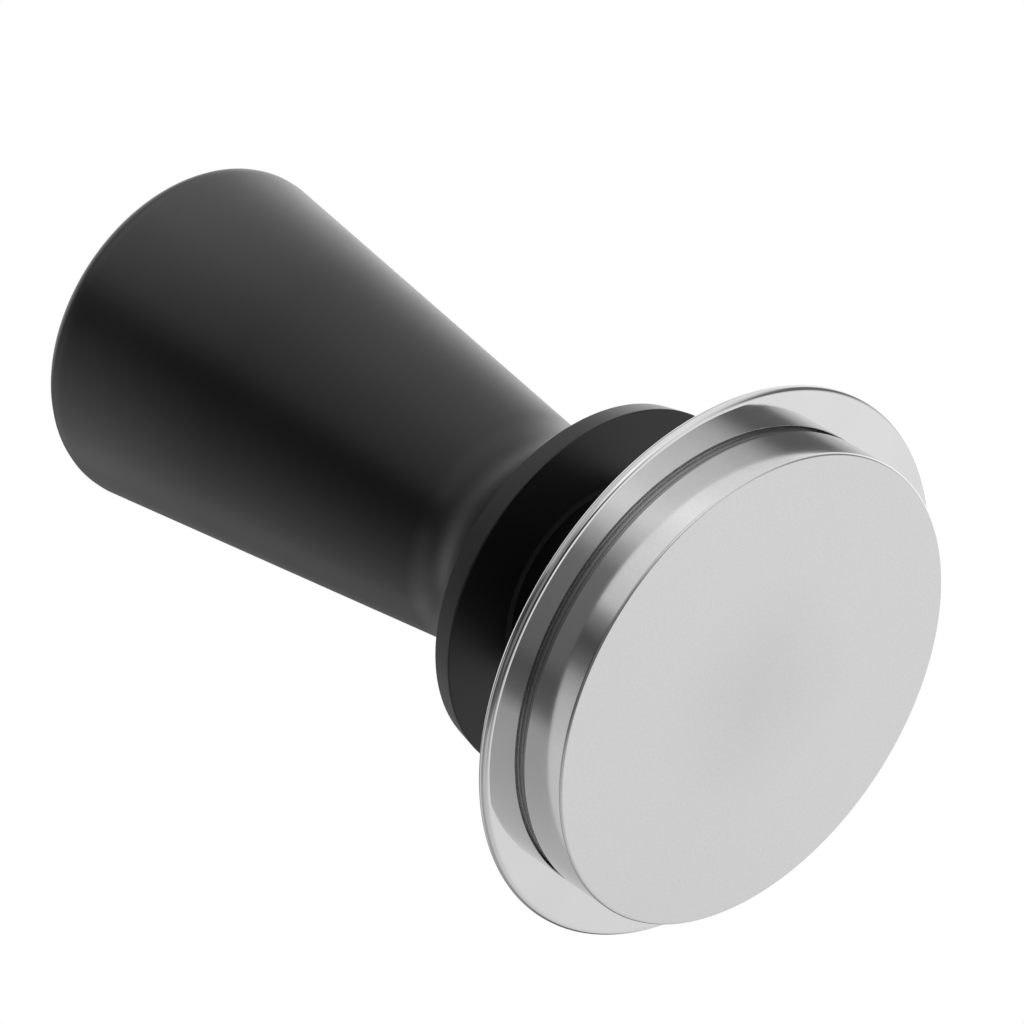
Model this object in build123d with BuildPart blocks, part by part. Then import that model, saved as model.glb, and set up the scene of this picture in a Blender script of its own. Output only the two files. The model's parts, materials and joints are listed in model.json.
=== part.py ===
"""Calibrated espresso tamper with a self-levelling flange.  Units: millimetres.

Frame: origin at the centre of the tamping face, +Z along the tamper's axis, from the
base up through the handle.  Everything turns about Z.
"""
from build123d import *
import os

os.makedirs("parts", exist_ok=True)

# --- tamping base ---------------------------------------------------------------------
BASE_R = 29.25                # fits a 58.5 mm filter basket
BASE_H = 6.0
BASE_EDGE_CHAMFER = 0.3       # lower edge, which meets the coffee
BASE_TOP_BREAK = 0.06
LAND_R = 28.75                # raised land that closes the gap under the flange
LAND_CLEARANCE = 0.03         # land to flange at rest: the rest washer carries the flange
RECESS_R = 9.0                # recess in the top face for the two washers
RECESS_Z = 5.35
STUD_HOLE_R = 4.0
STUD_HOLE_Z = 1.6             # blind: the tamping face stays whole

# --- levelling flange -----------------------------------------------------------------
FLANGE_GAP = 0.8              # between the base's top face and the flange, at rest
FLANGE_R = 34.3
FLANGE_T = 1.35
FLANGE_ROUND = 0.64           # nearly a full round on the rim
FLANGE_Z = BASE_H + FLANGE_GAP
FLANGE_TOP = FLANGE_Z + FLANGE_T

# --- joints' travel -------------------------------------------------------------------
HANDLE_STROKE = 5.0           # handle down against the main spring
FLANGE_STROKE = 8.0           # flange up against the return spring

# --- washers at the base --------------------------------------------------------------
LOCK_WASHER_T = 0.8
LOCK_WASHER_IN_R = 4.1
LOCK_WASHER_OUT_R = 6.5
REST_WASHER_IN_R = 6.9
REST_WASHER_OUT_R = 8.4

# --- plunger rod and piston -----------------------------------------------------------
ROD_R = 5.0
ROD_STUD_R = 3.98
ROD_STUD_END_GAP = 0.2
ROD_TOP = 54.0                # shoulder under the piston head
SPIGOT_R = 4.0
SPIGOT_H = 3.95
SCREW_HOLE_R = 2.5
SCREW_HOLE_DEPTH = 14.0
ROD_CLIP_GROOVE_R = 4.5
ROD_CLIP_T = 1.0
ROD_CLIP_GROOVE_W = 1.1
ROD_CLIP_IN_R = 4.55
ROD_CLIP_OUT_R = 7.4
ROD_CLIP_OPENING = 5.0
PISTON_R = 9.6
PISTON_BORE_R = 4.02
PISTON_T = 4.0
PISTON_TOP = ROD_TOP + PISTON_T
PISTON_GROOVE_R = 8.4
PISTON_GROOVE_W = 2.4
GUIDE_RING_OUT_R = 9.95
GUIDE_RING_W = 2.3
GUIDE_RING_CUT = 1.2          # the split that lets it spring into its groove
THRUST_WASHER_T = 0.8
WASHER_IN_R = 4.9
WASHER_OUT_R = 9.5
PISTON_SCREW_R = 2.48
PISTON_SCREW_LENGTH = 12.0
SCREW_HEAD_R = 4.25
SCREW_HEAD_H = 4.6
SCREW_HEAD_CHAMFER = 0.3
SCREW_HEX_AF = 4.0
SCREW_HEX_DEPTH = 2.6

# --- springs and their seats ----------------------------------------------------------
RUNNING_GAP = 0.02            # end play between faces that turn on one another
SEAT_T = 1.0
SEAT_LIP_IN_R = 5.7
SEAT_LIP_OUT_R = 6.5
SEAT_LIP_H = 1.5
MAIN_WIRE_R = 1.1
MAIN_COIL_R = 7.8
MAIN_TURNS = 7
UPPER_SEAT_Z = 88.0
UPPER_SEAT_T = 1.5
UPPER_SEAT_R = 9.7
UPPER_BOSS_R = 6.4
UPPER_BOSS_H = 3.0
STOP_STEM_R = 4.2
STOP_STEM_CHAMFER = 0.4
STOP_STEM_CLEARANCE = 0.2     # stem to screw head at full stroke, the rubber's share
RETURN_WIRE_R = 0.45
RETURN_COIL_R = 9.6
RETURN_TURNS = 6
RETURN_SEAT_TOP = 33.0        # held down by the snap ring on the rod
RETURN_SEAT_T = 1.0
RETURN_SEAT_IN_R = 5.08
RETURN_SEAT_OUT_R = 11.0
SPRING_END_GAP = 0.03

# --- handle ---------------------------------------------------------------------------
COLLAR_Z = 26.0               # underside of the collar
COLLAR_R = 23.1
COLLAR_TOP_Z = 28.9
COLLAR_TOP_R = 22.5
COLLAR_EDGE_BREAK = 0.15
NECK_Z = 43.5                 # where the flare ends and the straight cone begins
NECK_R = 14.7
HANDLE_TOP_Z = 103.5
HANDLE_TOP_R = 22.5           # the cone carried on to the top, before rounding
TOP_ROUND = 2.4
TOP_DOME = 0.9
MOUTH_R = 14.5                # seat for the bush and the wiper ring
MOUTH_TOP_Z = 31.0
MOUTH_CHAMFER = 0.15
SLEEVE_BORE_R = 13.38         # the sleeve runs in here as the flange rises
SLEEVE_END_CLEARANCE = 0.3    # sleeve to the bore's shoulder with both strokes used up
BORE_R = 10.0
BORE_TOP_Z = UPPER_SEAT_Z + UPPER_SEAT_T + 0.05
DRILL_POINT_H = 3.0
CLIP_GROOVE_R = 10.9
CLIP_GROOVE_Z = 51.2
CLIP_GROOVE_W = 1.1

# --- retaining ring and stop washer in the bore ---------------------------------------
CLIP_OUT_R = 10.8
CLIP_IN_R = 8.75
CLIP_T = 1.0
CLIP_OPENING = 5.0
CLIP_LUG_R = 1.1
CLIP_LUG_AT_R = 9.0
CLIP_LUG_HOLE_R = 0.5
STOP_WASHER_IN_R = 8.75
STOP_WASHER_OUT_R = 9.9
STOP_WASHER_T = 1.6

# --- bush and wiper ring in the collar's mouth ----------------------------------------
INSERT_OUT_R = 14.48
COLLAR_BUSH_IN_R = 13.37
COLLAR_BUSH_H = 3.4
WIPER_IN_R = 13.33
WIPER_Z = 26.3
WIPER_H = 1.25

# --- guide sleeve on the flange -------------------------------------------------------
SLEEVE_R = 13.3
SLEEVE_IN_R = 11.8
SLEEVE_TOP = 29.6
SLEEVE_TOP_CHAMFER = 0.3
SLEEVE_FLOOR_T = 2.4
HUB_R = 8.2
HUB_TOP_Z = 15.4
SPIGOT_FIT_R = 7.6            # part of the sleeve that centres it in the flange
SLEEVE_HOLE_R = 7.62
ROD_BUSH_SEAT_R = 6.6
ROD_BUSH_IN_R = 5.05
ROD_BUSH_OUT_R = 6.58
ROD_BUSH_Z = 7.0
ROD_BUSH_H = 8.2
FLANGE_SCREW_COUNT = 4
FLANGE_SCREW_AT_R = 10.4
FLANGE_SCREW_R = 1.23
FLANGE_SCREW_HOLE_R = 1.25
FLANGE_SCREW_HEAD_R = 2.3
FLANGE_SCREW_CONE_H = 1.1
FLANGE_SCREW_END = 9.9
FLANGE_SCREW_HEX_AF = 1.5
FLANGE_SCREW_HEX_DEPTH = 0.8


def ring(z, height, inner_r, outer_r):
    """A plain flat ring standing on the plane z."""
    with BuildPart() as body:
        with BuildSketch(Plane.XY.offset(z)):
            Circle(outer_r)
            Circle(inner_r, mode=Mode.SUBTRACT)
        extrude(amount=height)
    return body.part


def open_ring(z, height, inner_r, outer_r, opening):
    """A flat ring cut through on its +X side."""
    with BuildPart() as body:
        with BuildSketch(Plane.XY.offset(z)):
            Circle(outer_r)
            Circle(inner_r, mode=Mode.SUBTRACT)
            with Locations((outer_r, 0)):
                Rectangle(outer_r, opening, mode=Mode.SUBTRACT)
        extrude(amount=height)
    return body.part


def coil(z_low, z_high, wire_r, coil_r, turns):
    """A compression spring of round wire between two flat seats."""
    rise = z_high - z_low - 2 * wire_r - 2 * SPRING_END_GAP
    start = z_low + wire_r + SPRING_END_GAP
    with BuildPart() as body:
        with BuildLine(Plane.XY.offset(start)) as path:
            Helix(pitch=rise / turns, height=rise, radius=coil_r)
        with BuildSketch(Plane(origin=path.line @ 0, z_dir=path.line % 0)):
            Circle(wire_r)
        sweep(path=path.line, is_frenet=True)
    return body.part


def save(part, name):
    part.label = name
    export_step(part, f"parts/{name}.step")


# === base and plunger =================================================================
with BuildPart() as base_disc:
    with BuildSketch():
        Circle(BASE_R)
    extrude(amount=BASE_H)
    chamfer(base_disc.edges().group_by(Axis.Z)[0], BASE_EDGE_CHAMFER)
    chamfer(base_disc.edges().group_by(Axis.Z)[-1], BASE_TOP_BREAK)
    with BuildSketch(Plane.XY.offset(BASE_H)):
        Circle(LAND_R)
    extrude(amount=FLANGE_GAP - LAND_CLEARANCE)
    with BuildSketch(Plane.XY.offset(RECESS_Z)):
        Circle(RECESS_R)
    extrude(amount=FLANGE_Z - RECESS_Z, mode=Mode.SUBTRACT)
    with BuildSketch(Plane.XY.offset(STUD_HOLE_Z)):
        Circle(STUD_HOLE_R)
    extrude(amount=RECESS_Z - STUD_HOLE_Z, mode=Mode.SUBTRACT)
save(base_disc.part, "base_disc")

ROD_SHOULDER_Z = RECESS_Z + LOCK_WASHER_T
save(ring(RECESS_Z, LOCK_WASHER_T, LOCK_WASHER_IN_R, LOCK_WASHER_OUT_R), "lock_washer")
save(ring(RECESS_Z, FLANGE_Z - RECESS_Z, REST_WASHER_IN_R, REST_WASHER_OUT_R), "rest_washer")

with BuildPart() as plunger_rod:
    with BuildSketch(Plane.XY.offset(STUD_HOLE_Z + ROD_STUD_END_GAP)):
        Circle(ROD_STUD_R)
    extrude(amount=ROD_SHOULDER_Z - STUD_HOLE_Z - ROD_STUD_END_GAP)
    with BuildSketch(Plane.XY.offset(ROD_SHOULDER_Z)):
        Circle(ROD_R)
    extrude(amount=ROD_TOP - ROD_SHOULDER_Z)
    with BuildSketch(Plane.XY.offset(ROD_TOP)):
        Circle(SPIGOT_R)
    extrude(amount=SPIGOT_H)
    with BuildSketch(Plane.XY.offset(ROD_TOP + SPIGOT_H)):
        Circle(SCREW_HOLE_R)
    extrude(amount=-SCREW_HOLE_DEPTH, mode=Mode.SUBTRACT)
    with BuildSketch(Plane.XY.offset(RETURN_SEAT_TOP)):
        Circle(ROD_CLIP_OUT_R)
        Circle(ROD_CLIP_GROOVE_R, mode=Mode.SUBTRACT)
    extrude(amount=ROD_CLIP_GROOVE_W, mode=Mode.SUBTRACT)
save(plunger_rod.part, "plunger_rod")

rod_clip_z = RETURN_SEAT_TOP + RUNNING_GAP
rod_snap_ring = open_ring(
    rod_clip_z, ROD_CLIP_T, ROD_CLIP_IN_R, ROD_CLIP_OUT_R, ROD_CLIP_OPENING
)
save(rod_snap_ring, "rod_snap_ring")

GROOVE_Z = ROD_TOP + (PISTON_T - PISTON_GROOVE_W) / 2
with BuildPart() as piston_head:
    with BuildSketch(Plane.XY.offset(ROD_TOP)):
        Circle(PISTON_R)
        Circle(PISTON_BORE_R, mode=Mode.SUBTRACT)
    extrude(amount=PISTON_T)
    with BuildSketch(Plane.XY.offset(GROOVE_Z)):
        Circle(GUIDE_RING_OUT_R)
        Circle(PISTON_GROOVE_R, mode=Mode.SUBTRACT)
    extrude(amount=PISTON_GROOVE_W, mode=Mode.SUBTRACT)
save(piston_head.part, "piston_head")

guide_ring_z = ROD_TOP + (PISTON_T - GUIDE_RING_W) / 2
piston_guide_ring = open_ring(
    guide_ring_z, GUIDE_RING_W, PISTON_GROOVE_R + RUNNING_GAP, GUIDE_RING_OUT_R, GUIDE_RING_CUT
)
save(piston_guide_ring, "piston_guide_ring")

save(ring(PISTON_TOP, THRUST_WASHER_T, WASHER_IN_R, WASHER_OUT_R), "thrust_washer")

with BuildPart() as piston_screw:
    with BuildSketch(Plane.XY.offset(PISTON_TOP)):
        Circle(PISTON_SCREW_R)
    extrude(amount=-PISTON_SCREW_LENGTH)
    with BuildSketch(Plane.XY.offset(PISTON_TOP)):
        Circle(SCREW_HEAD_R)
    extrude(amount=SCREW_HEAD_H)
    head_rim = piston_screw.edges().group_by(Axis.Z)[-1]
    chamfer(head_rim, SCREW_HEAD_CHAMFER)
    with BuildSketch(Plane.XY.offset(PISTON_TOP + SCREW_HEAD_H)):
        RegularPolygon(SCREW_HEX_AF / 2, 6, major_radius=False)
    extrude(amount=-SCREW_HEX_DEPTH, mode=Mode.SUBTRACT)
save(piston_screw.part, "piston_screw")

# === main spring and the seat it turns with ===========================================
LOWER_SEAT_Z = PISTON_TOP + THRUST_WASHER_T + RUNNING_GAP
MAIN_SPRING_Z = LOWER_SEAT_Z + SEAT_T
with BuildPart() as lower_spring_seat:
    with BuildSketch(Plane.XY.offset(LOWER_SEAT_Z)):
        Circle(WASHER_OUT_R)
        Circle(WASHER_IN_R, mode=Mode.SUBTRACT)
    extrude(amount=SEAT_T)
    with BuildSketch(Plane.XY.offset(MAIN_SPRING_Z)):
        Circle(SEAT_LIP_OUT_R)
        Circle(SEAT_LIP_IN_R, mode=Mode.SUBTRACT)
    extrude(amount=SEAT_LIP_H)
save(lower_spring_seat.part, "lower_spring_seat")

main_spring = coil(MAIN_SPRING_Z, UPPER_SEAT_Z, MAIN_WIRE_R, MAIN_COIL_R, MAIN_TURNS)
save(main_spring, "main_spring")

# === handle ===========================================================================
SLEEVE_BORE_TOP_Z = SLEEVE_TOP + FLANGE_STROKE + HANDLE_STROKE + SLEEVE_END_CLEARANCE
cone_run = Vector(HANDLE_TOP_R - NECK_R, HANDLE_TOP_Z - TOP_DOME - NECK_Z)
with BuildPart() as handle_grip:
    with BuildSketch(Plane.XZ):
        with BuildLine():
            Polyline(
                (NECK_R, NECK_Z),
                (HANDLE_TOP_R, HANDLE_TOP_Z - TOP_DOME),
            )
            ThreePointArc(
                (HANDLE_TOP_R, HANDLE_TOP_Z - TOP_DOME),
                (HANDLE_TOP_R / 2, HANDLE_TOP_Z - TOP_DOME / 4),
                (0, HANDLE_TOP_Z),
            )
            Polyline(
                (0, HANDLE_TOP_Z),
                (0, COLLAR_Z),
                (COLLAR_R - COLLAR_EDGE_BREAK, COLLAR_Z),
                (COLLAR_R, COLLAR_Z + COLLAR_EDGE_BREAK),
                (COLLAR_TOP_R, COLLAR_TOP_Z),
            )
            TangentArc((NECK_R, NECK_Z), (COLLAR_TOP_R, COLLAR_TOP_Z), tangent=-cone_run)
        make_face()
    revolve(axis=Axis.Z)
    rim_z = HANDLE_TOP_Z - TOP_DOME
    fillet(handle_grip.edges().filter_by_position(Axis.Z, rim_z - 0.01, rim_z + 0.01), TOP_ROUND)
    # blind stepped bore from below, with the bush's seat and the retaining ring's groove
    with BuildSketch(Plane.XZ):
        with BuildLine():
            Polyline(
                (0, COLLAR_Z),
                (MOUTH_R + MOUTH_CHAMFER, COLLAR_Z),
                (MOUTH_R, COLLAR_Z + MOUTH_CHAMFER),
                (MOUTH_R, MOUTH_TOP_Z),
                (SLEEVE_BORE_R, MOUTH_TOP_Z),
                (SLEEVE_BORE_R, SLEEVE_BORE_TOP_Z),
                (BORE_R, SLEEVE_BORE_TOP_Z),
                (BORE_R, CLIP_GROOVE_Z),
                (CLIP_GROOVE_R, CLIP_GROOVE_Z),
                (CLIP_GROOVE_R, CLIP_GROOVE_Z + CLIP_GROOVE_W),
                (BORE_R, CLIP_GROOVE_Z + CLIP_GROOVE_W),
                (BORE_R, BORE_TOP_Z),
                (0, BORE_TOP_Z + DRILL_POINT_H),
                close=True,
            )
        make_face()
    revolve(axis=Axis.Z, mode=Mode.SUBTRACT)
save(handle_grip.part, "handle_grip")

STEM_BOTTOM_Z = PISTON_TOP + SCREW_HEAD_H + HANDLE_STROKE + STOP_STEM_CLEARANCE
with BuildPart() as upper_spring_seat:
    with BuildSketch(Plane.XY.offset(UPPER_SEAT_Z)):
        Circle(UPPER_SEAT_R)
    extrude(amount=UPPER_SEAT_T)
    with BuildSketch(Plane.XY.offset(UPPER_SEAT_Z)):
        Circle(UPPER_BOSS_R)
    extrude(amount=-UPPER_BOSS_H)
    with BuildSketch(Plane.XY.offset(UPPER_SEAT_Z - UPPER_BOSS_H)):
        Circle(STOP_STEM_R)
    extrude(amount=STEM_BOTTOM_Z - UPPER_SEAT_Z + UPPER_BOSS_H)
    chamfer(upper_spring_seat.edges().group_by(Axis.Z)[0], STOP_STEM_CHAMFER)
save(upper_spring_seat.part, "upper_spring_seat")

clip_z = CLIP_GROOVE_Z + (CLIP_GROOVE_W - CLIP_T) / 2
with BuildPart() as retaining_ring:
    with BuildSketch(Plane.XY.offset(clip_z)):
        Circle(CLIP_OUT_R)
        Circle(CLIP_IN_R, mode=Mode.SUBTRACT)
        with Locations((CLIP_OUT_R, 0)):
            Rectangle(CLIP_OUT_R, CLIP_OPENING, mode=Mode.SUBTRACT)
        lug_y = CLIP_OPENING / 2 + CLIP_LUG_R
        lug_x = (CLIP_LUG_AT_R**2 - lug_y**2) ** 0.5
        with Locations((lug_x, lug_y), (lug_x, -lug_y)):
            Circle(CLIP_LUG_R)
            Circle(CLIP_LUG_HOLE_R, mode=Mode.SUBTRACT)
    extrude(amount=CLIP_T)
save(retaining_ring.part, "retaining_ring")

stop_washer_z = CLIP_GROOVE_Z + CLIP_GROOVE_W
save(ring(stop_washer_z, STOP_WASHER_T, STOP_WASHER_IN_R, STOP_WASHER_OUT_R), "stop_washer")

save(ring(WIPER_Z, WIPER_H, WIPER_IN_R, INSERT_OUT_R), "wiper_ring")
collar_bush_z = MOUTH_TOP_Z - COLLAR_BUSH_H
save(ring(collar_bush_z, COLLAR_BUSH_H, COLLAR_BUSH_IN_R, INSERT_OUT_R), "collar_bush")

# === return spring and its seat =======================================================
RETURN_SEAT_Z = RETURN_SEAT_TOP - RETURN_SEAT_T
return_spring_seat = ring(RETURN_SEAT_Z, RETURN_SEAT_T, RETURN_SEAT_IN_R, RETURN_SEAT_OUT_R)
save(return_spring_seat, "return_spring_seat")

SLEEVE_FLOOR_TOP = FLANGE_TOP + SLEEVE_FLOOR_T
return_spring = coil(
    SLEEVE_FLOOR_TOP, RETURN_SEAT_Z, RETURN_WIRE_R, RETURN_COIL_R, RETURN_TURNS
)
save(return_spring, "return_spring")

# === levelling flange and its guide sleeve ============================================
with BuildPart() as levelling_flange:
    with BuildSketch(Plane.XY.offset(FLANGE_Z)):
        Circle(FLANGE_R)
    extrude(amount=FLANGE_T)
    fillet(levelling_flange.edges().filter_by(GeomType.CIRCLE), FLANGE_ROUND)
    with BuildSketch(Plane.XY.offset(FLANGE_Z)):
        Circle(SLEEVE_HOLE_R)
        with PolarLocations(FLANGE_SCREW_AT_R, FLANGE_SCREW_COUNT):
            Circle(FLANGE_SCREW_HOLE_R)
    extrude(amount=FLANGE_T, mode=Mode.SUBTRACT)
    with Locations(Plane.XY.offset(FLANGE_Z)):
        with PolarLocations(FLANGE_SCREW_AT_R, FLANGE_SCREW_COUNT):
            Cone(
                FLANGE_SCREW_HEAD_R,
                FLANGE_SCREW_HOLE_R,
                FLANGE_SCREW_CONE_H,
                align=(Align.CENTER, Align.CENTER, Align.MIN),
                mode=Mode.SUBTRACT,
            )
save(levelling_flange.part, "levelling_flange")

with BuildPart() as guide_sleeve:
    with BuildSketch(Plane.XZ):
        with BuildLine():
            Polyline(
                (ROD_BUSH_SEAT_R, FLANGE_Z),
                (SPIGOT_FIT_R, FLANGE_Z),
                (SPIGOT_FIT_R, FLANGE_TOP),
                (SLEEVE_R, FLANGE_TOP),
                (SLEEVE_R, SLEEVE_TOP - SLEEVE_TOP_CHAMFER),
                (SLEEVE_R - SLEEVE_TOP_CHAMFER, SLEEVE_TOP),
                (SLEEVE_IN_R, SLEEVE_TOP),
                (SLEEVE_IN_R, SLEEVE_FLOOR_TOP),
                (HUB_R, SLEEVE_FLOOR_TOP),
                (HUB_R, HUB_TOP_Z),
                (ROD_BUSH_SEAT_R, HUB_TOP_Z),
                close=True,
            )
        make_face()
    revolve(axis=Axis.Z)
    with BuildSketch(Plane.XY.offset(FLANGE_TOP)):
        with PolarLocations(FLANGE_SCREW_AT_R, FLANGE_SCREW_COUNT):
            Circle(FLANGE_SCREW_HOLE_R)
    extrude(amount=SLEEVE_FLOOR_T, mode=Mode.SUBTRACT)
save(guide_sleeve.part, "guide_sleeve")

save(ring(ROD_BUSH_Z, ROD_BUSH_H, ROD_BUSH_IN_R, ROD_BUSH_OUT_R), "rod_bush")

with BuildPart() as flange_screws:
    with Locations(Plane.XY.offset(FLANGE_Z)):
        with PolarLocations(FLANGE_SCREW_AT_R, FLANGE_SCREW_COUNT):
            Cone(
                FLANGE_SCREW_HEAD_R - RUNNING_GAP,
                FLANGE_SCREW_R,
                FLANGE_SCREW_CONE_H,
                align=(Align.CENTER, Align.CENTER, Align.MIN),
            )
    with BuildSketch(Plane.XY.offset(FLANGE_Z + FLANGE_SCREW_CONE_H)):
        with PolarLocations(FLANGE_SCREW_AT_R, FLANGE_SCREW_COUNT):
            Circle(FLANGE_SCREW_R)
    extrude(amount=FLANGE_SCREW_END - FLANGE_Z - FLANGE_SCREW_CONE_H)
    with BuildSketch(Plane.XY.offset(FLANGE_Z)):
        with PolarLocations(FLANGE_SCREW_AT_R, FLANGE_SCREW_COUNT):
            RegularPolygon(FLANGE_SCREW_HEX_AF / 2, 6, major_radius=False)
    extrude(amount=FLANGE_SCREW_HEX_DEPTH, mode=Mode.SUBTRACT)
save(flange_screws.part, "flange_screws")
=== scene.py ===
"""Looks of the calibrated espresso tamper: turned pieces, materials, studio light and camera."""
import json
import math

import bmesh
import bpy
from mathutils import Matrix, Vector

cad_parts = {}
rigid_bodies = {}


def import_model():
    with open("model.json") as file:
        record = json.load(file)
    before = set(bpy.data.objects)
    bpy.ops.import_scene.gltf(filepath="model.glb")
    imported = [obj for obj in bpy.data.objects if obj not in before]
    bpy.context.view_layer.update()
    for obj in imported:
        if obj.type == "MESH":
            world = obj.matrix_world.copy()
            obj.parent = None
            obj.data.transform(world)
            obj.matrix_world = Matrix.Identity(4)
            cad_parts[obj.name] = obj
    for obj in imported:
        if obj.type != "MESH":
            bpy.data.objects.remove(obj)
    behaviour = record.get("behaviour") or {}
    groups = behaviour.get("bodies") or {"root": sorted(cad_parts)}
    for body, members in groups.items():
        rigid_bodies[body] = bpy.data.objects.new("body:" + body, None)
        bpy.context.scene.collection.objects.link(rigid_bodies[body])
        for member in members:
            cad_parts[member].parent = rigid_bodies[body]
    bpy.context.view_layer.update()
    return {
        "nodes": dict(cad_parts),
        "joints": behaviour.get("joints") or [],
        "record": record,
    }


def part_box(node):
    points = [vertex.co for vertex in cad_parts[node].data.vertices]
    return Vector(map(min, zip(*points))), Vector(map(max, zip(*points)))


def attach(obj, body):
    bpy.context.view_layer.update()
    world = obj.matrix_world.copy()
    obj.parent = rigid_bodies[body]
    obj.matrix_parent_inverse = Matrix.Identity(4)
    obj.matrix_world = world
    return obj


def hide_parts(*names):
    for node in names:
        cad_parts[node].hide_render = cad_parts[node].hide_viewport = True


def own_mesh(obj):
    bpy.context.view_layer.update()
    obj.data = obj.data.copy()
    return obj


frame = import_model()

MM = 0.001
SAME_PLACE = 0.0001 * MM
SEGMENTS = 384                # round every turned piece
ARC_STEPS = 6                 # along a small rounded edge
SHARP_ANGLE = math.radians(32)
FULL_LEAD = 1.3               # a corner's lead-in, as a share of its arc's reach
LEAST_LEAD = 1.02
HALF_SIDE = 0.49              # a lead-in stays short of the middle of its side

# === profiles of the turned pieces, as (radius, height) in metres ======================


def lead_in(reach, side):
    """How far from a corner its flat lead-in starts: past the arc, short of the side's middle."""
    return max(min(reach * FULL_LEAD, side * HALF_SIDE), reach * LEAST_LEAD)


def corner(before, point, after, radius):
    """Points of the small arc that rounds one corner, with a flat lead-in on both sides."""
    p = Vector(point)
    side_before = (Vector(before) - p).length
    side_after = (Vector(after) - p).length
    to_before = (Vector(before) - p).normalized()
    to_after = (Vector(after) - p).normalized()
    half = to_before.angle(to_after) / 2
    reach = radius / math.tan(half)
    centre = p + (to_before + to_after).normalized() * (radius / math.sin(half))
    start = p + to_before * reach
    end = p + to_after * reach
    a = (start - centre).angle_signed(end - centre)
    points = [p + to_before * lead_in(reach, side_before)]
    for i in range(ARC_STEPS + 1):
        points.append(centre + Matrix.Rotation(-a * i / ARC_STEPS, 2) @ (start - centre))
    points.append(p + to_after * lead_in(reach, side_after))
    return points


def outline(corners):
    """A closed profile from (radius, height, rounding) corners; rounding 0 stays sharp."""
    points = []
    for i, (r, z, rounding) in enumerate(corners):
        before = corners[i - 1][:2]
        after = corners[(i + 1) % len(corners)][:2]
        if rounding:
            points += corner(before, (r, z), after, rounding)
        else:
            points.append(Vector((r, z)))
    return points


def tangent_arc(start, direction, end, steps):
    """Points of the arc that leaves start along direction and reaches end."""
    a, b = Vector(start), Vector(end)
    d = Vector(direction).normalized()
    n = Vector((-d.y, d.x))
    chord = b - a
    reach = chord.length_squared / (2 * n.dot(chord))
    centre = a + n * reach
    sweep = (a - centre).angle_signed(b - centre)
    return [centre + Matrix.Rotation(-sweep * i / steps, 2) @ (a - centre)
            for i in range(steps + 1)]


def turned(name, profile, closed=True):
    """A piece made by turning a profile about Z; a closed profile makes a ring."""
    bm = bmesh.new()
    rings = []
    for r, z in profile:
        if r < SAME_PLACE:
            rings.append([bm.verts.new((0, 0, z))])
            continue
        ring = []
        for i in range(SEGMENTS):
            angle = 2 * math.pi * i / SEGMENTS
            ring.append(bm.verts.new((r * math.cos(angle), r * math.sin(angle), z)))
        rings.append(ring)
    pairs = list(zip(rings, rings[1:]))
    if closed:
        pairs.append((rings[-1], rings[0]))
    for low, high in pairs:
        for i in range(SEGMENTS):
            j = (i + 1) % SEGMENTS
            if len(low) == 1:
                bm.faces.new((low[0], high[j], high[i]))
            elif len(high) == 1:
                bm.faces.new((low[i], low[j], high[0]))
            else:
                bm.faces.new((low[i], low[j], high[j], high[i]))
    bmesh.ops.recalc_face_normals(bm, faces=bm.faces)
    return finished(name, bm)


def shade(bm, mesh):
    """Writes bm to mesh with smooth faces and sharp edges."""
    for face in bm.faces:
        face.smooth = True
    for edge in bm.edges:
        edge.smooth = edge.calc_face_angle(0) < SHARP_ANGLE
    bm.to_mesh(mesh)
    bm.free()


def finished(name, bm):
    """The mesh as a shaded object in the scene."""
    mesh = bpy.data.meshes.new(name)
    shade(bm, mesh)
    obj = bpy.data.objects.new(name, mesh)
    bpy.context.scene.collection.objects.link(obj)
    return obj


def cut(obj, cutter):
    """Takes the cutter's shape out of obj for good, and removes the cutter."""
    modifier = obj.modifiers.new("cut", "BOOLEAN")
    modifier.operation = "DIFFERENCE"
    modifier.solver = "EXACT"
    modifier.object = cutter
    graph = bpy.context.evaluated_depsgraph_get()
    mesh = bpy.data.meshes.new_from_object(obj.evaluated_get(graph))
    obj.modifiers.remove(modifier)
    old = obj.data
    obj.data = mesh
    bpy.data.meshes.remove(old)
    bm = bmesh.new()
    bm.from_mesh(mesh)
    bmesh.ops.dissolve_degenerate(bm, edges=bm.edges, dist=SAME_PLACE)
    shade(bm, mesh)
    bpy.data.objects.remove(cutter)


def span(node):
    """(outer radius, lowest, highest) of a round CAD node."""
    low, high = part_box(node)
    return high.y, low.z, high.z


# --- sizes that the frame's boxes don't give -------------------------------------------
BASE_EDGE = 0.3 * MM
BASE_TOP_EDGE = 0.06 * MM
BASE_SHOULDER_Z = 6.0 * MM
LAND_R = 28.75 * MM
RECESS_R = 9.0 * MM
RECESS_Z = 5.35 * MM
STUD_HOLE_R = 4.0 * MM
STUD_HOLE_Z = 1.6 * MM

FLANGE_ROUND = 0.64 * MM
SLEEVE_HOLE_R = 7.62 * MM
SCREW_COUNT = 4
SCREW_AT_R = 10.4 * MM
SCREW_HOLE_R = 1.25 * MM
SCREW_HEAD_R = 2.3 * MM
SCREW_CONE_H = 1.1 * MM
SCREW_SEGMENTS = 48
CUT_PAST = 1.0 * MM           # how far a cutter reaches past the piece at both ends

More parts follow.
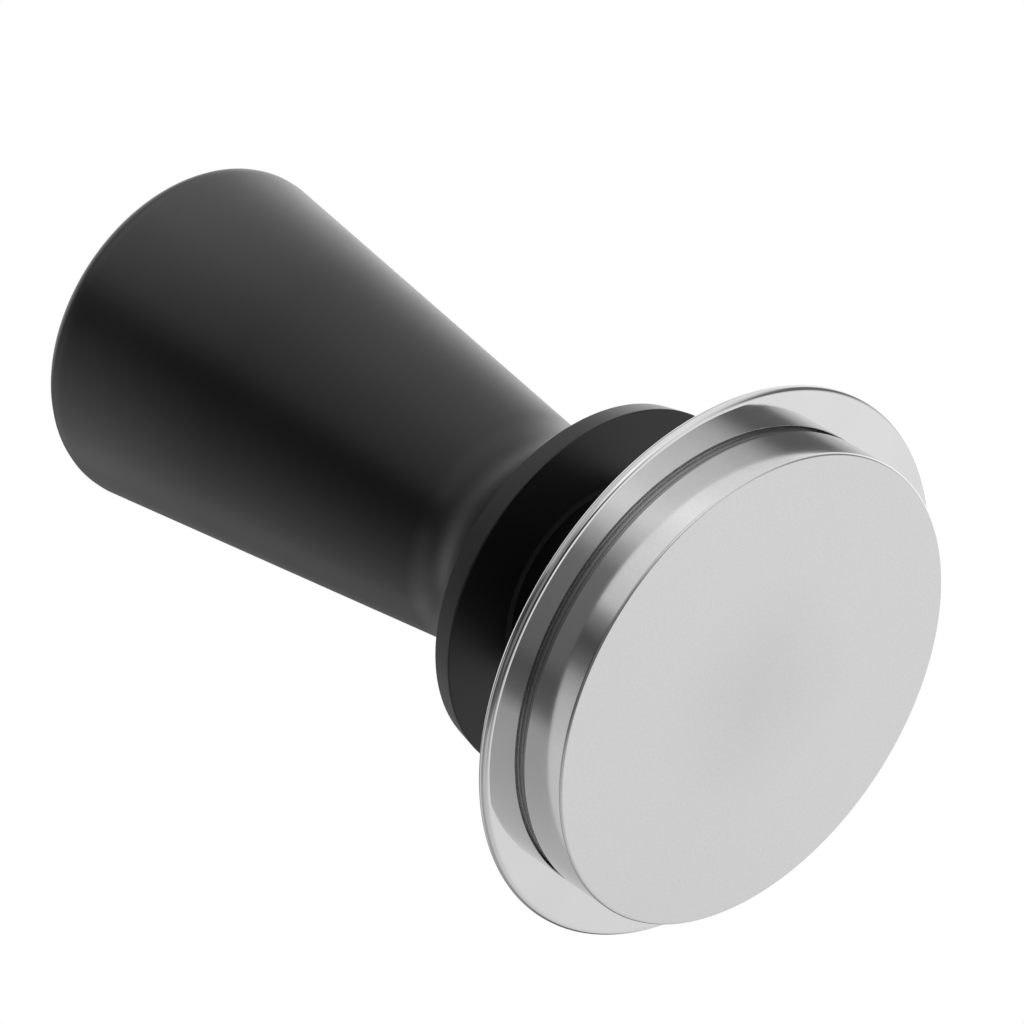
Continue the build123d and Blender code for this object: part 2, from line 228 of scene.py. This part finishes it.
COLLAR_EDGE = 0.15 * MM
COLLAR_TOP_R = 22.5 * MM
COLLAR_TOP_Z = 28.9 * MM
NECK_R = 14.7 * MM
NECK_Z = 43.5 * MM
HANDLE_TOP_R = 22.5 * MM
TOP_DOME = 0.9 * MM
TOP_ROUND = 2.4 * MM
DOME_SHARE = 0.86             # of the top's radius, out to where its edge starts to round
DOME_STEPS = 11
CONE_STEPS = 16
FLARE_STEPS = 48
PALM_FROM_Z = 76.0 * MM
PALM_TO_Z = 100.0 * MM
MOUTH_R = 14.5 * MM
MOUTH_TOP_Z = 31.0 * MM
SLEEVE_BORE_R = 13.38 * MM
SLEEVE_BORE_TOP_Z = 42.9 * MM
BORE_R = 10.0 * MM
BORE_TOP_Z = 89.55 * MM
CLIP_GROOVE_R = 10.9 * MM
CLIP_GROOVE_Z = 51.2 * MM
CLIP_GROOVE_W = 1.1 * MM
DRILL_POINT_H = 3.0 * MM

SLEEVE_IN_R = 11.8 * MM
SLEEVE_EDGE = 0.3 * MM
SLEEVE_FLOOR_Z = 10.55 * MM
HUB_R = 8.2 * MM
HUB_TOP_Z = 15.4 * MM
SPIGOT_R = 7.6 * MM
BUSH_SEAT_R = 6.6 * MM


def base_disc():
    r, low, high = span("base_disc")
    profile = [Vector((0, low)), Vector((r / 2, low))]
    profile += corner((0, low), (r, low), (r, high), BASE_EDGE)
    profile += corner((r, low), (r, BASE_SHOULDER_Z), (0, BASE_SHOULDER_Z), BASE_TOP_EDGE)
    profile += [
        Vector((LAND_R, BASE_SHOULDER_Z)),
        Vector((LAND_R, high)),
        Vector((RECESS_R, high)),
        Vector((RECESS_R, RECESS_Z)),
        Vector((STUD_HOLE_R, RECESS_Z)),
        Vector((STUD_HOLE_R, STUD_HOLE_Z)),
        Vector((0, STUD_HOLE_Z)),
    ]
    return turned("tamping_base", profile, closed=False)


def levelling_flange():
    r, low, high = span("levelling_flange")
    profile = outline([
        (SLEEVE_HOLE_R, low, 0),
        (r, low, FLANGE_ROUND),
        (r, high, FLANGE_ROUND),
        (SLEEVE_HOLE_R, high, 0),
    ])
    return turned("flange_disc", profile)


def handle_grip():
    r, low, high = span("handle_grip")
    cone = Vector((HANDLE_TOP_R - NECK_R, high - TOP_DOME - NECK_Z))
    rim = (HANDLE_TOP_R, high - TOP_DOME)
    dome_r = (HANDLE_TOP_R ** 2 + TOP_DOME ** 2) / (2 * TOP_DOME)
    dome = []
    for i in range(DOME_STEPS + 1):
        radius = HANDLE_TOP_R * DOME_SHARE * i / DOME_STEPS
        dome.append(Vector((radius, high - dome_r + math.sqrt(dome_r ** 2 - radius ** 2))))
    profile = dome + corner(dome[-1], rim, (NECK_R, NECK_Z), TOP_ROUND)
    last = profile[-1]
    neck = Vector((NECK_R, NECK_Z))
    profile += [last.lerp(neck, i / CONE_STEPS) for i in range(1, CONE_STEPS)]
    profile += tangent_arc(neck, -cone, (COLLAR_TOP_R, COLLAR_TOP_Z), FLARE_STEPS)
    profile += corner((COLLAR_TOP_R, COLLAR_TOP_Z), (r, low), (0, low), COLLAR_EDGE)
    profile += corner((r, low), (MOUTH_R, low), (MOUTH_R, MOUTH_TOP_Z), COLLAR_EDGE)
    profile += [Vector(p) for p in (
        (MOUTH_R, MOUTH_TOP_Z),
        (SLEEVE_BORE_R, MOUTH_TOP_Z),
        (SLEEVE_BORE_R, SLEEVE_BORE_TOP_Z),
        (BORE_R, SLEEVE_BORE_TOP_Z),
        (BORE_R, CLIP_GROOVE_Z),
        (CLIP_GROOVE_R, CLIP_GROOVE_Z),
        (CLIP_GROOVE_R, CLIP_GROOVE_Z + CLIP_GROOVE_W),
        (BORE_R, CLIP_GROOVE_Z + CLIP_GROOVE_W),
        (BORE_R, BORE_TOP_Z),
        (0, BORE_TOP_Z + DRILL_POINT_H),
    )]
    return turned("grip", profile, closed=False)


def guide_sleeve():
    r, low, high = span("guide_sleeve")
    flange_top = span("levelling_flange")[2]
    profile = outline([
        (BUSH_SEAT_R, low, 0),
        (SPIGOT_R, low, 0),
        (SPIGOT_R, flange_top, 0),
        (r, flange_top, 0),
        (r, high, SLEEVE_EDGE),
        (SLEEVE_IN_R, high, SLEEVE_EDGE),
        (SLEEVE_IN_R, SLEEVE_FLOOR_Z, 0),
        (HUB_R, SLEEVE_FLOOR_Z, 0),
        (HUB_R, HUB_TOP_Z, 0),
        (BUSH_SEAT_R, HUB_TOP_Z, 0),
    ])
    return turned("sleeve", profile)


def screw_cutter():
    """Countersunk holes from the flange's underside up through the sleeve's floor."""
    low = span("levelling_flange")[1]
    widening = (SCREW_HEAD_R - SCREW_HOLE_R) * CUT_PAST / SCREW_CONE_H
    shape = bmesh.new()
    for k in range(SCREW_COUNT):
        angle = 2 * math.pi * k / SCREW_COUNT
        centre = Vector((SCREW_AT_R * math.cos(angle), SCREW_AT_R * math.sin(angle), 0))
        rings = []
        for r, z in (
            (SCREW_HEAD_R + widening, low - CUT_PAST),
            (SCREW_HOLE_R, low + SCREW_CONE_H),
            (SCREW_HOLE_R, SLEEVE_FLOOR_Z + CUT_PAST),
        ):
            ring = []
            for i in range(SCREW_SEGMENTS):
                turn = 2 * math.pi * i / SCREW_SEGMENTS
                offset = Vector((r * math.cos(turn), r * math.sin(turn), z))
                ring.append(shape.verts.new(centre + offset))
            rings.append(ring)
        for a, b in zip(rings, rings[1:]):
            for i in range(SCREW_SEGMENTS):
                j = (i + 1) % SCREW_SEGMENTS
                shape.faces.new((a[i], a[j], b[j], b[i]))
        shape.faces.new(list(reversed(rings[0])))
        shape.faces.new(rings[-1])
    bmesh.ops.recalc_face_normals(shape, faces=shape.faces)
    return finished("cutter", shape)


# === materials ==========================================================================


class Nodes:
    """Short calls that build one material's nodes."""

    def __init__(self, name):
        self.material = bpy.data.materials.new(name)
        self.material.use_nodes = True
        self.tree = self.material.node_tree
        self.bsdf = self.tree.nodes["Principled BSDF"]
        self.place = self.add("ShaderNodeTexCoord").outputs["Object"]

    def add(self, kind, **settings):
        node = self.tree.nodes.new(kind)
        for key, value in settings.items():
            setattr(node, key, value)
        return node

    def link(self, source, target):
        self.tree.links.new(source, target)

    def noise(self, scale, detail=2.0, vector=None):
        node = self.add("ShaderNodeTexNoise")
        node.inputs["Scale"].default_value = scale
        node.inputs["Detail"].default_value = detail
        self.link(vector or self.place, node.inputs["Vector"])
        return node.outputs["Fac"]

    def spread(self, factor, low, high, start=0.3, end=0.7):
        """The factor's middle range stretched over low to high."""
        node = self.add("ShaderNodeMapRange")
        node.inputs["From Min"].default_value = start
        node.inputs["From Max"].default_value = end
        node.inputs["To Min"].default_value = low
        node.inputs["To Max"].default_value = high
        self.link(factor, node.inputs["Value"])
        return node.outputs["Result"]

    def ramp(self, factor, stops):
        node = self.add("ShaderNodeValToRGB")
        elements = node.color_ramp.elements
        while len(elements) < len(stops):
            elements.new(0.5)
        for element, (position, colour) in zip(elements, stops):
            element.position = position
            element.color = (*colour, 1)
        self.link(factor, node.inputs["Fac"])
        return node.outputs["Color"]

    def bump(self, height, distance, strength):
        node = self.add("ShaderNodeBump")
        node.inputs["Distance"].default_value = distance
        node.inputs["Strength"].default_value = strength
        self.link(height, node.inputs["Height"])
        return node.outputs["Normal"]

    def radius(self):
        """Distance from the Z axis."""
        flat = self.add("ShaderNodeVectorMath", operation="MULTIPLY")
        flat.inputs[1].default_value = (1, 1, 0)
        self.link(self.place, flat.inputs[0])
        length = self.add("ShaderNodeVectorMath", operation="LENGTH")
        self.link(flat.outputs["Vector"], length.inputs[0])
        return length.outputs["Value"]

    def height(self):
        """Height above the base's face."""
        split = self.add("ShaderNodeSeparateXYZ")
        self.link(self.place, split.inputs["Vector"])
        return split.outputs["Z"]

    def lathe_marks(self, pitch):
        """Noise that changes along the profile and not at all round the axis."""
        profile = self.add("ShaderNodeCombineXYZ")
        self.link(self.radius(), profile.inputs["X"])
        self.link(self.height(), profile.inputs["Y"])
        return self.noise(1 / pitch, 3.0, profile.outputs["Vector"])

    def radial_tangent(self, amount):
        tangent = self.add("ShaderNodeTangent", direction_type="RADIAL", axis="Z")
        self.link(tangent.outputs["Tangent"], self.bsdf.inputs["Tangent"])
        self.bsdf.inputs["Anisotropic"].default_value = amount

    def set(self, **values):
        for key, value in values.items():
            self.bsdf.inputs[key.replace("_", " ").capitalize()].default_value = value

    def colour(self, source):
        self.link(source, self.bsdf.inputs["Base Color"])

    def roughness(self, source):
        self.link(source, self.bsdf.inputs["Roughness"])

    def normal(self, source):
        self.link(source, self.bsdf.inputs["Normal"])


def grey(value, warm=0.0):
    return (value * (1 + warm), value, value * (1 - warm))


def black_aluminium():
    """Bead-blasted and anodised: a soft sheen, stronger where the palm rests, and a few specks."""
    n = Nodes("black_aluminium")
    n.set(Metallic=0.0)
    worn = n.spread(n.height(), 0.5, 0.82, PALM_FROM_Z, PALM_TO_Z)
    n.link(worn, n.bsdf.inputs["Specular IOR Level"])
    cloud = n.noise(90, 4.0)
    specks = n.add("ShaderNodeTexVoronoi", feature="F1")
    specks.inputs["Scale"].default_value = 330
    n.link(n.place, specks.inputs["Vector"])
    speck = n.ramp(specks.outputs["Distance"], [(0.0, grey(1)), (0.035, grey(0))])
    chance = n.ramp(specks.outputs["Color"], [(0.93, grey(0)), (0.94, grey(1))])
    chosen = n.add("ShaderNodeMix", data_type="RGBA", blend_type="MULTIPLY")
    chosen.inputs["Factor"].default_value = 1.0
    n.link(speck, chosen.inputs["A"])
    n.link(chance, chosen.inputs["B"])
    surface = n.ramp(cloud, [(0.3, grey(0.0042)), (0.7, grey(0.0058))])
    mix = n.add("ShaderNodeMix", data_type="RGBA")
    n.link(chosen.outputs["Result"], mix.inputs["Factor"])
    n.link(surface, mix.inputs["A"])
    mix.inputs["B"].default_value = (*grey(0.12), 1)
    n.colour(mix.outputs["Result"])
    n.roughness(n.spread(n.noise(160, 3.0), 0.33, 0.36))
    n.normal(n.bump(n.noise(7000, 2.0), 0.00001, 0.35))
    return n.material


def polished_steel():
    """Mirror polish with faint circular buffing lines."""
    n = Nodes("polished_steel")
    n.set(Metallic=1.0)
    marks = n.lathe_marks(0.00012)
    n.colour(n.ramp(n.noise(60, 3.0), [(0.3, grey(0.69)), (0.7, grey(0.73))]))
    n.roughness(n.spread(marks, 0.04, 0.09))
    n.normal(n.bump(marks, 0.000002, 0.25))
    return n.material


WALL_ROUGH = 0.14
LAND_ROUGH = 0.36
LAND_BLEND = 0.1 * MM
LAND_PAINTED_SHADE = 0.55             # painted shade: the land's colour is darkened to stand in for the shadow in the gap under the flange
MIDDLE_SHADE = 0.93           # the face's middle is a little darker
MIDDLE = (2.0 * MM, 15.0 * MM)


def turned_steel():
    """Satin finish from fine turning, smoother on the wall and duller on the land, whose colour
    also carries painted shade for the gap under the flange.
    """
    n = Nodes("turned_steel")
    n.set(Metallic=1.0)
    marks = n.lathe_marks(0.00016)
    height = n.height()
    wall = n.spread(height, 0.0, 1.0, BASE_EDGE / 6, BASE_EDGE * 5 / 6)
    land_from = BASE_SHOULDER_Z + BASE_TOP_EDGE / 2
    land = (land_from, land_from + LAND_BLEND)
    # painted shade: the colour darkens over the land, standing in for the shadow in the gap under
    # the flange
    land_painted_shade = n.spread(height, 1.0, LAND_PAINTED_SHADE, *land)
    steel = n.ramp(n.noise(2600, 3.0), [(0.3, grey(0.655)), (0.7, grey(0.685))])
    middle = n.spread(n.radius(), MIDDLE_SHADE, 1.0, *MIDDLE)
    dimming = n.add("ShaderNodeMath", operation="MULTIPLY")
    n.link(land_painted_shade, dimming.inputs[0])
    n.link(middle, dimming.inputs[1])
    shaded = n.add("ShaderNodeVectorMath", operation="SCALE")
    n.link(steel, shaded.inputs["Vector"])
    n.link(dimming.outputs["Value"], shaded.inputs["Scale"])
    n.colour(shaded.outputs["Vector"])
    face_rough = n.spread(n.noise(220, 4.0), 0.26, 0.28)
    both = n.add("ShaderNodeMix")
    n.link(wall, both.inputs["Factor"])
    n.link(face_rough, both.inputs["A"])
    n.link(n.spread(height, WALL_ROUGH, LAND_ROUGH, *land), both.inputs["B"])
    n.roughness(both.outputs["Result"])
    n.radial_tangent(0.5)
    n.normal(n.bump(marks, 0.000003, 0.3))
    return n.material


def machined_steel():
    n = Nodes("machined_steel")
    n.set(Metallic=1.0)
    marks = n.lathe_marks(0.0003)
    n.colour(n.ramp(n.noise(250, 4.0), [(0.3, grey(0.50)), (0.7, grey(0.58))]))
    n.roughness(n.spread(marks, 0.22, 0.36))
    n.normal(n.bump(marks, 0.000004, 0.4))
    return n.material


def spring_steel():
    n = Nodes("spring_steel")
    n.set(Metallic=1.0)
    drawn = n.noise(900, 4.0)
    n.colour(n.ramp(drawn, [(0.3, grey(0.30)), (0.7, grey(0.38, -0.02))]))
    n.roughness(n.spread(n.noise(400), 0.30, 0.45))
    n.normal(n.bump(drawn, 0.00001, 0.3))
    return n.material


def bronze():
    n = Nodes("bronze")
    n.set(Metallic=1.0)
    grain = n.noise(1500, 3.0)
    n.colour(n.ramp(grain, [(0.3, (0.50, 0.33, 0.17)), (0.7, (0.62, 0.43, 0.23))]))
    n.roughness(n.spread(grain, 0.30, 0.42))
    n.normal(n.bump(grain, 0.00001, 0.3))
    return n.material


def plastic(name, dark, light, rough):
    """A moulded or machined plastic with a faint mottle."""
    n = Nodes(name)
    mottle = n.noise(1200, 3.0)
    n.colour(n.ramp(mottle, [(0.3, dark), (0.7, light)]))
    n.roughness(n.spread(mottle, rough - 0.04, rough + 0.04))
    n.normal(n.bump(mottle, 0.00001, 0.3))
    return n.material


MATERIALS = {
    "black_aluminium": black_aluminium(),
    "polished_steel": polished_steel(),
    "turned_steel": turned_steel(),
    "machined_steel": machined_steel(),
    "spring_steel": spring_steel(),
    "bronze": bronze(),
    "white_polymer": plastic("white_polymer", grey(0.74, 0.02), grey(0.82, 0.02), 0.45),
    "black_polymer": plastic("black_polymer", grey(0.02), grey(0.028), 0.5),
    "black_rubber": plastic("black_rubber", grey(0.016), grey(0.022), 0.62),
}

# === pieces =============================================================================
SLOT_OF = {part["node"]: part["material_slot"] for part in frame["record"]["subparts"]}


def stand_for(piece, node, body):
    """The piece takes the CAD node's place, finish and body."""
    piece.data.materials.clear()
    piece.data.materials.append(MATERIALS[SLOT_OF[node]])
    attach(piece, body)
    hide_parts(node)


def coil(joint, node):
    """A copy of a CAD spring with its finish, carried by the joint's parent body."""
    piece = bpy.data.objects.new(node + "_coil", frame["nodes"][node].data.copy())
    bpy.context.scene.collection.objects.link(piece)
    stand_for(piece, node, joint["parent"])
    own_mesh(piece)


for node, obj in frame["nodes"].items():
    for material_slot in obj.material_slots:
        material_slot.material = MATERIALS[SLOT_OF[node]]

for joint in frame["joints"]:
    for spring in joint.get("deforming_nodes", ()):
        coil(joint, spring["node"])

stand_for(base_disc(), "base_disc", "base")
stand_for(handle_grip(), "handle_grip", "handle")

sleeve = guide_sleeve()
cut(sleeve, screw_cutter())
stand_for(sleeve, "guide_sleeve", "flange")

flange = levelling_flange()
cut(flange, screw_cutter())
stand_for(flange, "levelling_flange", "flange")

# === camera =============================================================================
# The tamper is seen from below and in front (-Y), with its axis lying across the picture.
CAMERA_PLACE = Vector((0.0, -0.4731, -0.3374))
CAMERA_RIGHT = Vector((0.538, 0.527, -0.658))
CAMERA_UP = Vector((0.843, -0.340, 0.417))
LENS_MM = 182.8
SENSOR_MM = 36.0

camera_data = bpy.data.cameras.new("camera")
camera_data.lens = LENS_MM
camera_data.sensor_width = SENSOR_MM
camera_data.clip_start = 0.01
camera = bpy.data.objects.new("camera", camera_data)
right = CAMERA_RIGHT.normalized()
up = (CAMERA_UP - right * CAMERA_UP.dot(right)).normalized()
back = right.cross(up)
camera.matrix_world = Matrix((
    (right.x, up.x, back.x, CAMERA_PLACE.x),
    (right.y, up.y, back.y, CAMERA_PLACE.y),
    (right.z, up.z, back.z, CAMERA_PLACE.z),
    (0, 0, 0, 1),
))
bpy.context.scene.collection.objects.link(camera)
bpy.context.scene.camera = camera

# === studio: a pale tent with dark gaps, and a pale floor ===============================
# Brightness of the tent by compass angle in degrees, from -Y (0) toward +X (90), on
# six rings from the top of the tent down to its foot.
TENT_ZENITH = (
    (-180, 1.1), (-110, 1.0), (-90, 0.9), (0, 0.55), (90, 0.9), (110, 1.1), (180, 1.1),
)
TENT_TOP = (
    (-180, 1.0), (-160, 0.60), (-143, 0.25), (-120, 0.35), (-90, 0.45), (-63, 0.12),
    (-38, 0.03), (-12, 0.12), (12, 0.30), (38, 0.36), (63, 0.45), (86, 0.50),
    (108, 0.55), (128, 0.75), (143, 1.2), (160, 1.2), (180, 1.0),
)
TENT_ABOVE = (
    (-180, 0.5), (-150, 0.30), (-138, 0.35), (-120, 0.75), (-75, 0.75), (-50, 0.62),
    (-40, 0.45), (-30, 0.14), (-20, 0.07), (-10, 0.22), (0, 0.75), (30, 0.93),
    (52, 1.12), (75, 0.95), (105, 0.88), (125, 1.15), (150, 1.5), (165, 1.7),
    (180, 0.5),
)
TENT_MIDDLE = (
    (-180, 1.5), (-168, 1.1), (-156, 0.12), (-120, 0.42), (-90, 0.45), (-65, 0.30),
    (-50, 0.10), (-20, 0.05), (-8, 0.10), (2, 0.42), (30, 0.62), (60, 0.95),
    (100, 0.95), (120, 1.15), (145, 1.5), (165, 1.8), (180, 1.5),
)
TENT_BELOW = (
    (-180, 0.94), (-174, 0.88), (-160, 0.85), (-145, 0.75), (-70, 0.60), (-58, 0.18),
    (-45, 0.14), (-35, 0.22), (10, 0.25), (20, 0.55), (30, 0.98), (40, 1.26),
    (60, 1.05), (80, 0.90), (92, 0.75), (118, 0.16), (138, 0.18), (150, 0.67),
    (160, 0.95), (174, 1.0), (180, 0.94),
)
TENT_FOOT = (
    (-180, 1.0), (-120, 0.60), (-90, 0.30), (-60, 0.04), (40, 0.04), (60, 0.30),
    (90, 0.90), (180, 1.0),
)
# each ring takes over from the one below it between two sines of the elevation
TENT_RINGS = (
    (TENT_BELOW, (-0.85, -0.70)),
    (TENT_MIDDLE, (-0.30, 0.05)),
    (TENT_ABOVE, (0.42, 0.60)),
    (TENT_TOP, (0.68, 0.80)),
    (TENT_ZENITH, (0.86, 0.95)),
)


FLOOR_SIZE = 3.0
FLOOR_Z = -0.3 * MM


def tent_ring(tree, angle, stops):
    """The tent's brightness along one ring."""
    ramp = tree.nodes.new("ShaderNodeValToRGB")
    ramp.color_ramp.interpolation = "EASE"
    elements = ramp.color_ramp.elements
    while len(elements) < len(stops):
        elements.new(0.5)
    brightest = max(value for _, value in stops)
    for element, (degrees, value) in zip(elements, stops):
        element.position = (degrees + 180) / 360
        element.color = (value / brightest,) * 3 + (1,)
    tree.links.new(angle, ramp.inputs["Fac"])
    scale = tree.nodes.new("ShaderNodeMath")
    scale.operation = "MULTIPLY"
    scale.inputs[1].default_value = brightest
    tree.links.new(ramp.outputs["Color"], scale.inputs[0])
    return scale.outputs["Value"]


def tent():
    world = bpy.data.worlds.new("tent")
    world.use_nodes = True
    tree = world.node_tree
    tree.nodes.clear()
    direction = tree.nodes.new("ShaderNodeTexCoord").outputs["Generated"]
    split = tree.nodes.new("ShaderNodeSeparateXYZ")
    tree.links.new(direction, split.inputs["Vector"])
    flip = tree.nodes.new("ShaderNodeMath")
    flip.operation = "MULTIPLY"
    flip.inputs[1].default_value = -1.0
    tree.links.new(split.outputs["Y"], flip.inputs[0])
    compass = tree.nodes.new("ShaderNodeMath")
    compass.operation = "ARCTAN2"
    tree.links.new(split.outputs["X"], compass.inputs[0])
    tree.links.new(flip.outputs["Value"], compass.inputs[1])
    around = tree.nodes.new("ShaderNodeMapRange")
    around.inputs["From Min"].default_value = -math.pi
    around.inputs["From Max"].default_value = math.pi
    tree.links.new(compass.outputs["Value"], around.inputs["Value"])
    brightness = tent_ring(tree, around.outputs["Result"], TENT_FOOT)
    for stops, (start, end) in TENT_RINGS:
        ring = tent_ring(tree, around.outputs["Result"], stops)
        height = tree.nodes.new("ShaderNodeMapRange")
        height.interpolation_type = "SMOOTHSTEP"
        height.inputs["From Min"].default_value = start
        height.inputs["From Max"].default_value = end
        tree.links.new(split.outputs["Z"], height.inputs["Value"])
        mix = tree.nodes.new("ShaderNodeMix")
        tree.links.new(height.outputs["Result"], mix.inputs["Factor"])
        tree.links.new(brightness, mix.inputs["A"])
        tree.links.new(ring, mix.inputs["B"])
        brightness = mix.outputs["Result"]
    light = tree.nodes.new("ShaderNodeBackground")
    tree.links.new(brightness, light.inputs["Color"])
    seen = tree.nodes.new("ShaderNodeBackground")
    seen.inputs["Color"].default_value = (1, 1, 1, 1)
    path = tree.nodes.new("ShaderNodeLightPath")
    choose = tree.nodes.new("ShaderNodeMixShader")
    tree.links.new(path.outputs["Is Camera Ray"], choose.inputs["Fac"])
    tree.links.new(light.outputs["Background"], choose.inputs[1])
    tree.links.new(seen.outputs["Background"], choose.inputs[2])
    output = tree.nodes.new("ShaderNodeOutputWorld")
    tree.links.new(choose.outputs["Shader"], output.inputs["Surface"])
    return world


def floor():
    """A pale floor under the base, clear from beneath, where the camera is."""
    half = FLOOR_SIZE / 2
    bm = bmesh.new()
    corners = [(-half, -half), (half, -half), (half, half), (-half, half)]
    bm.faces.new([bm.verts.new((x, y, FLOOR_Z)) for x, y in corners])
    obj = finished("floor", bm)
    material = bpy.data.materials.new("floor")
    material.use_nodes = True
    tree = material.node_tree
    surface = tree.nodes["Principled BSDF"]
    surface.inputs["Base Color"].default_value = (0.9, 0.9, 0.9, 1)
    surface.inputs["Roughness"].default_value = 0.9
    clear = tree.nodes.new("ShaderNodeBsdfTransparent")
    side = tree.nodes.new("ShaderNodeNewGeometry")
    choose = tree.nodes.new("ShaderNodeMixShader")
    tree.links.new(side.outputs["Backfacing"], choose.inputs["Fac"])
    tree.links.new(surface.outputs["BSDF"], choose.inputs[1])
    tree.links.new(clear.outputs["BSDF"], choose.inputs[2])
    tree.links.new(choose.outputs["Shader"], tree.nodes["Material Output"].inputs["Surface"])
    obj.data.materials.append(material)
    obj.visible_diffuse = False
    obj.visible_glossy = False
    obj.visible_shadow = False
    obj.visible_transmission = False


bpy.context.scene.world = tent()
floor()
bpy.context.scene.view_settings.view_transform = "Standard"
